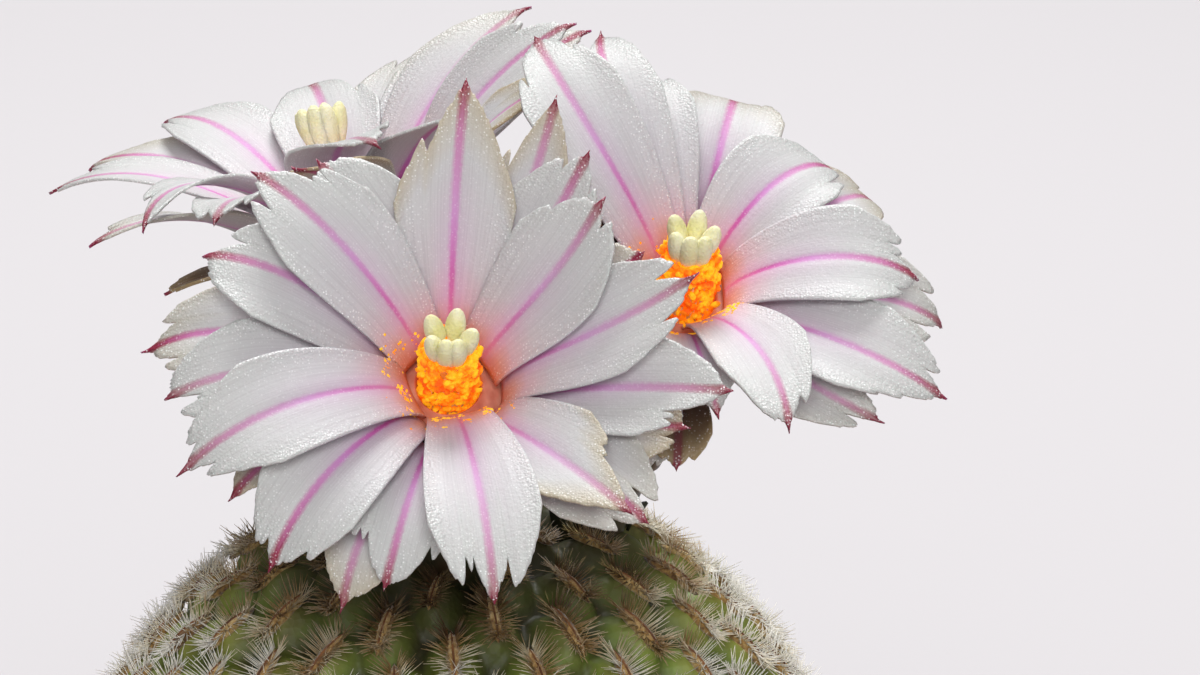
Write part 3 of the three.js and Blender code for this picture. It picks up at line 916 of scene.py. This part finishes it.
def petal_material(name, blade_tones, stripe_tones, stripe_width, glitter, halo):
    """Petal: thin watery tissue of glassy cells with a coloured midrib, so it glows a little; its sparkle is
    partly painted, as white glints on the margin.
    """
    add, shade, place = new_material(name)
    chart = add("UVMap", {}, uv_map="blade")
    across = add("SeparateXYZ", {"Vector": chart})
    along = across.node.outputs["Y"]
    strength = add("SeparateXYZ", {"Vector": add("Attribute", {}, out="Vector", attribute_name="marks")})
    centred = add("Math", {0: across, 1: 0.5}, operation="SUBTRACT")
    side = add("Math", {0: centred}, operation="ABSOLUTE")
    # The lines of the mesh crowd towards the middle, so the map widens the midrib by the same share.
    fibres = add("Mapping", {"Vector": chart, "Scale": (64.0, 1.4, 1.0)})
    strand = add("TexNoise", {"Vector": fibres, "Scale": 1.0, "Detail": 3.0})
    cells = add("TexNoise", pattern(place, 0.16, Detail=2.0))
    wander = add("Math", {0: strand, 1: 0.05, 2: side}, operation="MULTIPLY_ADD")
    ragged = add("Math", {0: cells, 1: 0.05, 2: wander}, operation="MULTIPLY_ADD")
    band = {"Value": ragged, 1: stripe_width + 0.09, 2: stripe_width}
    stripe = add("MapRange", band, interpolation_type="SMOOTHSTEP")
    fading = [(0.0, 0.3), (0.12, 0.8), (0.3, 1.0), (0.56, 0.75), (0.8, 0.85), (0.93, 1.0)]
    shown = add("Math", {0: stripe, 1: add("ValToRGB", {"Fac": along}, fading)}, operation="MULTIPLY")
    strong = add("Math", {0: shown, 1: strength}, operation="MULTIPLY")
    ground = add("ValToRGB", {"Fac": along}, blade_tones)
    vein = add("ValToRGB", {"Fac": strand}, [(0.36, "#d9d5d8"), (0.56, "#ffffff")])
    veined = add("Mix", {"Factor": 0.3, 6: ground, 7: vein}, blend_type="MULTIPLY")
    beside = add("MapRange", {"Value": ragged, 1: 0.42, 2: 0.12}, interpolation_type="SMOOTHSTEP")
    inner = add("MapRange", {"Value": along, 1: 0.75, 2: 0.2, 4: halo})
    haloed = add("Math", {0: beside, 1: inner}, operation="MULTIPLY")
    lilac = add("Mix", {"Factor": haloed, 6: veined, 7: colour("#d3a3cc")})
    toward_tip = add("MapRange", {"Value": along, 1: 0.76, 2: 1.0})
    tanned = add("Math", {0: toward_tip, 1: strength.node.outputs["Y"]}, operation="MULTIPLY")
    warm = add("Mix", {"Factor": tanned, 6: lilac, 7: colour("#b3a077")})
    stripe_tone = add("ValToRGB", {"Fac": along}, stripe_tones)
    full = add("Mix", {"Factor": strong, 6: warm, 7: stripe_tone})
    point = add("MapRange", {"Value": along, 1: 0.95, 2: 0.995})
    near = add("MapRange", {"Value": side, 1: 0.11, 2: 0.04})
    tip = add("Math", {0: point, 1: near}, operation="MULTIPLY")
    tipped = add("Mix", {"Factor": tip, 6: full, 7: colour("#7d1a35")})
    # Glassy cells stand out along the petal's margin in bumps and gloss, and some are painted white as
    # glints.
    margin = add("MapRange", {"Value": side, 1: 0.34, 2: 0.5})
    end = add("MapRange", {"Value": along, 1: 0.78, 2: 1.0})
    edge = add("Math", {0: margin, 1: end}, operation="MAXIMUM")
    beads = add("TexVoronoi", pattern(place, 0.12))
    bead = add("Math", {0: beads, 1: edge}, operation="MULTIPLY")
    glint_core = add("MapRange", {"Value": beads, 1: 0.42, 2: 0.2})
    lit = add("SeparateColor", {"Color": beads.node.outputs["Color"]})
    chosen = add("MapRange", {"Value": lit, 1: 0.45, 2: 0.95})
    scatter = add("MapRange", {"Value": edge, 3: 0.2, 4: 0.95})
    glint_cells = add("Math", {0: glint_core, 1: chosen}, operation="MULTIPLY")
    painted_glint = add("Math", {0: glint_cells, 1: scatter}, operation="MULTIPLY")
    # Painted highlight: chosen margin cells are mixed towards white as glints.
    glinted = add("Mix", {"Factor": painted_glint, 6: tipped, 7: colour("#ffffff")})
    beaded = add("Math", {0: bead, 1: -glitter, 2: cells}, operation="MULTIPLY_ADD")
    relief = add("Math", {0: strand, 1: 0.25, 2: beaded}, operation="MULTIPLY_ADD")
    bump = add("Bump", {"Height": relief, "Strength": 0.55, "Distance": 0.05 * MM})
    gloss = add("MapRange", {"Value": edge, 3: 0.6, 4: 0.34})
    tissue = flesh(0.45, (1.0, 0.8, 0.85), 0.5)
    return shade({"Base Color": glinted, "Roughness": gloss, "Normal": bump, **tissue})


def grown_blade(name, flower, index):
    """A petal's blade and its marks, with the generator that the rest of the petal goes on with."""
    row = flower["petals"][index]
    rng = random.Random(f"{name} {index}")
    flush = max(0, row[3] / OUTERMOST_LAYER - 0.55) * rng.uniform(0.6, 2.0)
    pointed = index + 1 in flower["pointed"]
    marks = Vector((rng.uniform(0.6, 1.0), 0.6 if name == "front" and pointed else flush, 0))
    return Blade(row, rng, flower["twists"].get(index + 1, 0), pointed), marks, rng


class CACTUS_OT_petals(bpy.types.Operator):
    """Shape each petal with its pointed, torn end and coloured midrib"""

    bl_idname = "cactus.petals"
    bl_label = "Petals"

    def execute(self, context):
        thickness = settings("flower").thickness
        white = petal_material(
            "petal_tissue",
            [(0.0, "#cc7e68"), (0.1, "#d3a094"), (0.2, "#d1b8c5"), (0.36, "#cbc6cb"), (1.0, "#c5c7c4")],
            [(0.0, "#d9709c"), (0.25, "#cb50a6"), (0.5, "#cf7cc8"), (0.8, "#c2569f"), (0.95, "#93203f")],
            stripe_width=0.075,
            glitter=1.6,
            halo=0.5,
        )
        for name, flower in FLOWERS.items():
            matrix = flower_matrix(flower)
            for index in range(len(flower["petals"])):
                blade, marks, rng = grown_blade(name, flower, index)
                bm = petal_mesh(blade, rng, thickness, marks)
                number = f"{index + 1:02d}"
                node = f"{name}_petal_{number}"
                finish_piece(f"{name}_blade_{number}", bm, [white], [node], matrix)
            for index, row in enumerate(flower["far_petals"]):
                rng = random.Random(f"{name} far {index}")
                blade = Blade(row, rng, row[7])
                bm = petal_mesh(blade, rng, thickness, Vector((rng.uniform(0.6, 1), 0.2, 0)))
                finish_piece(f"{name}_far_blade_{index + 1}", bm, [white], matrix=matrix)
        return {"FINISHED"}


# ---- Floral tubes ----


def tube_material():
    """Floral tube: smooth fleshy tissue, dark olive flushed with red-brown, faintly shining."""
    tones = [(0.32, "#1c1a10"), (0.5, "#343620"), (0.7, "#4c3826")]
    return mottled_material("floral_tube_flesh", 2.4, 4.0, tones, 0.42, (0, 0.3, 0.1, False))


def lining_material():
    """Throat lining: moist thin-skinned tissue, salmon pink, deepening to brick in the cup."""
    tones = [(0.3, "#b8604a"), (0.7, "#dc957e")]
    tissue = flesh(0.2, (1.0, 0.5, 0.4), 0.4)
    return mottled_material("throat_lining", 0.9, 3.0, tones, 0.4, (0, 0.3, 0.08, False), tissue)


# The lip of the flower's cup and the rim of the hollow inside it, in millimetres.
RIM_RADIUS = CLAW_RADIUS + LAYER_OUT * (OUTERMOST_LAYER + 0.3)
CUP_RADIUS = CLAW_RADIUS - 0.4
SEPAL_THICKNESS = 0.16 * MM


def rest_height(radius):
    """The height of the cup's lip, just under the petals' claws."""
    return CLAW_HEIGHT - LAYER_DOWN / LAYER_OUT * (radius - CLAW_RADIUS) - 0.42


def tube_outline(length):
    """Half the tube's outline: a faintly ringed neck, the flaring cup, its lip and the hollow inside."""
    lip = rest_height(RIM_RADIUS)
    outline = [(0.02, -length), (1.9, -length)]
    outline += [(1.9 + 0.12 * math.sin(i * 0.9), -length + (length - 6) * i / 6) for i in range(1, 6)]
    outline += [(2.1, -6), (2.25, -4.6), (2.7, -3.1), (3.35, -2.1)]
    outline += [(RIM_RADIUS, lip - 0.12), (RIM_RADIUS - 0.1, lip)]
    outline += [(2.9, rest_height(2.9)), (CUP_RADIUS + 0.1, rest_height(CUP_RADIUS + 0.1))]
    outline += [(CUP_RADIUS, rest_height(CUP_RADIUS) - 0.2), (CUP_RADIUS, -CUP_DEPTH)]
    return outline + [(0.02, -CUP_DEPTH)]


def bent(point, corners, length):
    """Where a point of the straight tube comes to, once the tube follows its curve."""
    share = max(0, 1 + point.z / (length * MM)) if point.z < 0 else 1
    centre, slope = curve_point(corners, share)
    turn = Vector((0, 0, 1)).rotation_difference(slope)
    beyond = slope * point.z if point.z > 0 else Vector()
    return centre + turn @ Vector((point.x, point.y, 0)) + beyond


def tube_scale(up, turn, corners, length):
    """One scale of the tube, larger the nearer it is to the cup, with a tip that stands off."""
    foot_height = (-length + 1 + (length - 3.2) * up) * MM
    size = (1.5 + 2.2 * up) * MM
    neck = 2.12 + 0.9 * smoothed((up - 0.7) / 0.3)
    bm = bmesh.new()
    bmesh.ops.create_grid(bm, x_segments=6, y_segments=8, size=0.5)
    for vert in bm.verts:
        u, v = 2 * vert.co.x, vert.co.y + 0.5
        half = 0.42 * size * (1 - v) ** 0.6 * (0.55 + 0.9 * v)
        side = turn + u * half / (2.15 * MM)
        radius = (neck + 0.35 * v * v + 0.1) * MM
        vert.co = bent(around(radius, side, foot_height + size * v), corners, length)
    bmesh.ops.recalc_face_normals(bm, faces=bm.faces)
    bmesh.ops.solidify(bm, geom=bm.faces, thickness=SEPAL_THICKNESS)
    bmesh.ops.remove_doubles(bm, verts=bm.verts, dist=0.004 * MM)
    return as_mesh(bm, "scale")


class CACTUS_OT_tubes(bpy.types.Operator):
    """Draw each floral tube with its scales and its brown outer petals"""

    bl_idname = "cactus.tubes"
    bl_label = "Floral tubes"

    def execute(self, context):
        materials = [tube_material(), lining_material()]
        sepal = petal_material(
            "outer_petal_tissue",
            [(0.0, "#241b12"), (0.4, "#3f3222"), (0.75, "#665438"), (1.0, "#8f7c58")],
            [(0.0, "#3a2018"), (0.5, "#5c2530"), (1.0, "#7a1c34")],
            stripe_width=0.12,
            glitter=0.6,
            halo=0.0,
        )
        steps, scales, outer_petals = 60, 16, 8
        for name, flower in FLOWERS.items():
            rng = random.Random("tube " + name)
            corners = tube_line(flower, -0.9 * MM)
            stops = [curve_point(corners, i / steps)[0] for i in range(steps + 1)]
            length = sum((b - a).length for a, b in zip(stops, stops[1:])) / MM
            bm = turned([(r * MM, h * MM) for r, h in tube_outline(length)], 48)
            bmesh.ops.holes_fill(bm, edges=bm.edges)
            bmesh.ops.recalc_face_normals(bm, faces=bm.faces)
            for face in bm.faces:
                middle = face.calc_center_median()
                inside = math.hypot(middle.x, middle.y) < (CUP_RADIUS + 0.02) * MM
                if face.normal.z > 0.3 or inside and middle.z > -(CUP_DEPTH + 0.1) * MM:
                    face.material_index = 1
            for vert in bm.verts:
                vert.co = bent(vert.co, corners, length)
            for i in range(scales):
                scale = tube_scale((i + 0.5) / scales, i * GOLDEN_ANGLE, corners, length)
                add_copy(bm, scale, Matrix())
            finish_piece(f"{name}_scaly_tube", bm, materials, [f"{name}_floral_tube"])
            matrix = flower_matrix(flower)
            for i in range(outer_petals):
                bearing = 360 / outer_petals * i + rng.uniform(-12, 12)
                size = rng.uniform(4.6, 6.0), rng.uniform(2.6, 3.2)
                row = (bearing, *size, 5.3, 12, rng.uniform(-35, -15), 0)
                marks = Vector((0.9, 0.2, 0))
                bm = petal_mesh(Blade(row, rng), rng, SEPAL_THICKNESS, marks, across=20, along=20)
                finish_piece(f"{name}_outer_petal_{i + 1}", bm, [sepal], matrix=matrix)
        return {"FINISHED"}


# ---- Stamens, pollen and pistil ----


def pollen_material(name, deep, middle, bright):
    """Pollen on burst anthers: a dry powdery crust of grains, orange-yellow, deeper orange in the hollows.

    The faint glow is painted light: it stands for the light that passes through the loose grains from every
    side.
    """
    tones = [(0.38, deep), (0.48, middle), (0.56, bright)]
    tissue = flesh(0.5, (1.0, 0.5, 0.1), 0.5)
    return mottled_material(name, 0.75, 4.0, tones, 0.85, (0.11, 0.8, 0.05, False), tissue, glow=0.36)


def filament_material():
    """Filaments: hair-fine watery threads, pale yellow."""
    return mottled_material("filament", 1.0, 2.0, [(0.3, "#e9b877"), (0.7, "#f4e2b8")], 0.5)


def anther_shape(rng):
    """A burst anther: a bean half a millimetre long, lumpy with pollen."""
    bm = bmesh.new()
    bmesh.ops.create_icosphere(bm, subdivisions=2, radius=1)
    seed = Vector([rng.uniform(-9, 9) for _ in range(3)])
    for vert in bm.verts:
        vert.co *= 1 + 0.35 * noise.noise(vert.co * 1.7 + seed)
    bmesh.ops.scale(bm, vec=(0.15 * MM, 0.12 * MM, 0.24 * MM), verts=bm.verts)
    return as_mesh(bm, "anther")


class CACTUS_OT_stamens(bpy.types.Operator):
    """Crowd the anthers round the style, and dust the throat with pollen"""

    bl_idname = "cactus.stamens"
    bl_label = "Stamens"

    def execute(self, context):
        count = settings("flower").anthers
        materials = [pollen_material("pollen", "#ee6206", "#ff9008", "#ffbc1c"), filament_material()]
        loose = pollen_material("loose_pollen", "#ff9a08", "#ffae12", "#ffc83a")
        # The column of anthers, in millimetres, and the share of them that stands at its side.
        column_foot, column_height, column_radius, at_side = -2.2, 5.9, 1.14, 0.86
        for name, flower in FLOWERS.items():
            rng = random.Random("stamens " + name)
            matrix = flower_matrix(flower)
            shapes = [anther_shape(rng) for _ in range(5)]
            bm = bmesh.new()
            for i in range(count):
                up = (i + 0.5) / count
                turn = i * GOLDEN_ANGLE
                height = column_foot + column_height * min(up / at_side, 1)
                radius = column_radius + 0.1 * math.sin(math.pi * up) + rng.gauss(0, 0.1)
                if up > at_side:
                    # The last of them close the top of the column round the style.
                    radius *= 0.35 + 0.65 * (1 - up) / (1 - at_side)
                spot = around(radius, turn, height + rng.gauss(0, 0.1)) * MM
                lean = Matrix.Rotation(turn, 4, "Z") @ Matrix.Rotation(rng.gauss(0.5, 0.5), 4, "Y")
                spin = Matrix.Rotation(rng.uniform(0, math.tau), 4, "X")
                add_copy(bm, rng.choice(shapes), Matrix.Translation(spot) @ lean @ spin)
            threads = 60
            for i in range(threads):
                turn = i * GOLDEN_ANGLE
                foot = around(1.35, turn, -3.2) * MM
                head = around(1.1, turn + 0.2, rng.uniform(-1, 3.2)) * MM
                along = head - foot
                radii = (0.07 * MM, 0.05 * MM)
                add_thread(bm, (foot + head) / 2, along, along.length, radii, 6, 1)
            finish_piece(f"{name}_anthers", bm, materials, [f"{name}_stamens"], matrix)
            self.dust(name, flower, matrix, loose, rng)
        return {"FINISHED"}

    def dust(self, name, flower, matrix, material, rng):
        """Pollen grains fallen on the petals' bases, thickest on the lip of the throat."""
        grain = bmesh.new()
        bmesh.ops.create_icosphere(grain, subdivisions=1, radius=1)
        grain = as_mesh(grain, "grain")
        bm = bmesh.new()
        for index, row in enumerate(flower["petals"]):
            blade = grown_blade(name, flower, index)[0]
            upper = max(0, 1 - row[3] / 2.2)
            below = smoothed(0.5 - math.sin(math.radians(row[0] + 35)))
            for _ in range(int(380 * upper * below)):
                v = max(0.1 + rng.gauss(0, 0.032), 0.03)
                size = rng.uniform(0.04, 0.11) * MM
                spot = blade.point(rng.uniform(-1, 1), v, 0.09) * MM
                if noise.noise(spot / (0.8 * MM)) < 0.05:
                    continue
                add_copy(bm, grain, matrix @ Matrix.Translation(spot) @ Matrix.Scale(size, 4))
            for _ in range(int(26 * upper)):
                spot = blade.point(rng.uniform(-0.8, 0.8), 0.1 + abs(rng.gauss(0, 0.14)), 0.08) * MM
                size = rng.uniform(0.03, 0.055) * MM
                add_copy(bm, grain, matrix @ Matrix.Translation(spot) @ Matrix.Scale(size, 4))
        finish_piece(f"{name}_pollen_dust", bm, [material])


def stigma_material():
    """Stigma: moist tissue covered with tiny blunt warts, pale cream-yellow and soft with light."""
    tones = [(0.3, "#e4dfa4"), (0.65, "#f4f0cf")]
    tissue = flesh(0.4, (1.0, 0.9, 0.5), 0.4)
    return mottled_material("stigma_tissue", 1.2, 2.0, tones, 0.55, (0.13, 0.7, 0.06, True), tissue)


class CACTUS_OT_pistils(bpy.types.Operator):
    """Raise each style with the blunt rays of its stigma"""

    bl_idname = "cactus.pistils"
    bl_label = "Pistils"

    def execute(self, context):
        lobes = settings("flower").lobes
        material = stigma_material()
        # Half the ray's depth, width and length, and its middle from the top of the style, in millimetres.
        ray_depth, ray_width, ray_half = 0.43, 0.47, 1.25
        foot = Vector((0.52, 0, 1.0))
        for name, flower in FLOWERS.items():
            rng = random.Random("pistil " + name)
            top = flower["style"]
            profile = [(0.02, -4.4), (0.4, -4.4), (0.42, 0), (0.46, top - 0.5), (0.8, top + 0.4)]
            profile += [(0.02, top + 0.8)]
            bm = turned([(radius * MM, height * MM) for radius, height in profile], 20)
            bmesh.ops.holes_fill(bm, edges=bm.edges)
            for i in range(lobes):
                turn = math.tau * (i + 0.25) / lobes + rng.uniform(-0.08, 0.08)
                # The rays lean back a little, away from the lip that the flower hangs over.
                lean = math.radians(13 + 15 * math.sin(turn) + rng.uniform(-2, 2))
                lobe = bmesh.new()
                bmesh.ops.create_icosphere(lobe, subdivisions=4, radius=1)
                seed = rng.uniform(0, 50)
                for vert in lobe.verts:
                    swell = 1 + 0.12 * vert.co.z
                    wart = 0.05 * abs(noise.noise(vert.co * 6 + Vector((seed, 0, 0))))
                    x, y, z = vert.co
                    ray = Vector((x * ray_depth * swell, y * ray_width * swell, z * ray_half)) * (1 + wart)
                    vert.co = (ray + foot) * MM
                matrix = Matrix.Translation((0, 0, top * MM)) @ Matrix.Rotation(turn, 4, "Z")
                add_copy(bm, as_mesh(lobe, "lobe"), matrix @ Matrix.Rotation(lean, 4, "Y"))
            nodes = [f"{name}_pistil"]
            finish_piece(f"{name}_stigma_and_style", bm, [material], nodes, flower_matrix(flower))
        return {"FINISHED"}


# ---- Stage ----


class CACTUS_OT_stage(bpy.types.Operator):
    """Set the floor, the lights and the camera"""

    bl_idname = "cactus.stage"
    bl_label = "Stage"

    def execute(self, context):
        stage = settings("stage")
        scene = context.scene
        scene.view_settings.view_transform = "Standard"
        add, shade, place = new_material("studio_paper")
        tooth = add("TexNoise", pattern(place, 1.5))
        bump = add("Bump", {"Height": tooth, "Strength": 0.05, "Distance": 0.05 * MM})
        bm = bmesh.new()
        bmesh.ops.create_circle(bm, cap_ends=True, segments=96, radius=3)
        mesh = as_mesh(bm, "floor")
        mesh.materials.append(shade({"Base Color": stage.floor, "Roughness": 0.9, "Normal": bump}))
        put("floor", mesh)

        world = bpy.data.worlds.new("studio")
        world.use_nodes = True
        background = world.node_tree.nodes["Background"].inputs
        background["Color"].default_value = colour("#f2f0f2")
        background["Strength"].default_value = 0.22
        scene.world = world

        target = STEM_TOP + Vector((0, 0, 8 * MM))
        lamps = {
            "softbox_front": ((0.02, -0.62, 0.48), 0.36, 3.1, target),
            "softbox_above": ((0.15, -0.05, 0.8), 0.3, 0.3, target),
            "fill_right": ((0.6, -0.35, 0.3), 0.5, 0.25, target),
            "backdrop_lamp": ((0, 0.3, 0.6), 0.3, 4.0, Vector((0, 0.27, 0))),
        }
        for name, (place, size, power, aim) in lamps.items():
            light = bpy.data.lights.new(name, "AREA")
            light.shape = "DISK"
            light.size = size
            light.energy = power
            lamp = put(name, light)
            lamp.location = place
            lamp.rotation_euler = (aim - Vector(place)).to_track_quat("-Z", "Y").to_euler()

        down = math.radians(20)
        right = Vector((1, 0, 0))
        toward = Vector((0, -math.cos(down), math.sin(down)))
        up = Vector((0, math.sin(down), math.cos(down)))
        camera = bpy.data.cameras.new("camera")
        camera.lens = stage.lens
        camera.sensor_width = 36
        camera.clip_start = 0.01
        holder = put("camera", camera)
        aside, above, away = 6.81, 25.77, 290
        place = STEM_CENTRE + (right * aside + up * above + toward * away) * MM
        holder.matrix_world = Matrix.Translation(place) @ Matrix((right, up, toward)).transposed().to_4x4()
        scene.camera = holder
        return {"FINISHED"}


class CACTUS_PT_panel(bpy.types.Panel):
    """Buttons for the cactus's pieces"""

    bl_label = "Cactus"
    bl_idname = "CACTUS_PT_panel"
    bl_space_type = "VIEW_3D"
    bl_region_type = "UI"
    bl_category = "Cactus"

    def draw(self, context):
        for operator in OPERATORS:
            self.layout.operator(operator.bl_idname)
        for name, group in GROUPS.items():
            box = self.layout.box()
            for key in group.__annotations__:
                box.prop(settings(name), key)


GROUPS = {
    "pot": PotSettings,
    "soil": SoilSettings,
    "stem": StemSettings,
    "spines": SpineSettings,
    "flower": FlowerSettings,
    "stage": StageSettings,
}
OPERATORS = [
    CACTUS_OT_stage,
    CACTUS_OT_pot,
    CACTUS_OT_soil,
    CACTUS_OT_stem,
    CACTUS_OT_spines,
    CACTUS_OT_tubes,
    CACTUS_OT_petals,
    CACTUS_OT_stamens,
    CACTUS_OT_pistils,
]
CLASSES = [*GROUPS.values(), *OPERATORS, CACTUS_PT_panel]


def register():
    for cls in CLASSES:
        bpy.utils.register_class(cls)
    for name, group in GROUPS.items():
        setattr(bpy.types.Scene, "cactus_" + name, PointerProperty(type=group))


def unregister():
    for name in GROUPS:
        delattr(bpy.types.Scene, "cactus_" + name)
    for cls in reversed(CLASSES):
        bpy.utils.unregister_class(cls)


def main():
    register()
    for operator in OPERATORS:
        group, verb = operator.bl_idname.split(".")
        getattr(getattr(bpy.ops, group), verb)()


if __name__ == "__main__":
    main()
